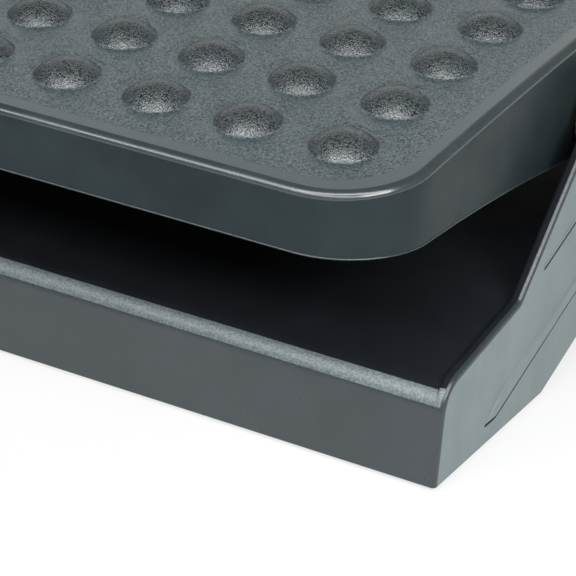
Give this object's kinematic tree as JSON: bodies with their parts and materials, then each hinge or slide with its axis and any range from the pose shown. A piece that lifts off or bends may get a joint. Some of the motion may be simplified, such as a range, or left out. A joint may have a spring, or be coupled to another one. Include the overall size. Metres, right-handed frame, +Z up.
{
  "type": "tilting footrest",
  "caption": "Under desk footrest: a wide crowned foot tray with massage domes rocks on friction pivots between two ears of a moulded base on rubber feet.",
  "frame": {"origin": "on the floor, under the centre of the whole footrest's plan at rest", "axes": "+X to the right along the pivot axis, +Y to the back, away from the user, +Z up"},
  "size_m": [0.4516, 0.3186, 0.1339],
  "materials": {
    "base_plastic": "moulded graphite plastic, fine spark grain on the rounded edges",
    "tray_plastic": "moulded graphite plastic, leather grain inside a smooth rim",
    "foot_rubber": "matte black rubber",
    "bush_nylon": "natural nylon",
    "friction_fibre": "brown fibre",
    "pin_steel": "turned bright steel",
    "zinc_steel": "zinc plated steel"
  },
  "bodies": {
    "base": {"base_frame": "base_plastic", "rubber_foot_front_left": "foot_rubber", "rubber_foot_front_right": "foot_rubber", "rubber_foot_rear_left": "foot_rubber", "rubber_foot_rear_right": "foot_rubber", "pivot_bush_left": "bush_nylon", "pivot_bush_right": "bush_nylon", "friction_washer_left": "friction_fibre", "friction_washer_right": "friction_fibre"},
    "tray": {"foot_tray": "tray_plastic", "pivot_pin_left": "pin_steel", "pivot_pin_right": "pin_steel", "spring_washer_left": "zinc_steel", "spring_washer_right": "zinc_steel", "retainer_plate_left": "zinc_steel", "retainer_plate_right": "zinc_steel", "plate_screw_front_left": "zinc_steel", "plate_screw_rear_left": "zinc_steel", "plate_screw_front_right": "zinc_steel", "plate_screw_rear_right": "zinc_steel"}
  },
  "joints": [
    {"name": "tray_tilt", "type": "hinge", "parent": "base", "child": "tray", "pos_m": [0, 0.001, 0.0905], "axis": [1, 0, 0], "range_deg": [-21.5, 14.5]}
  ]
}
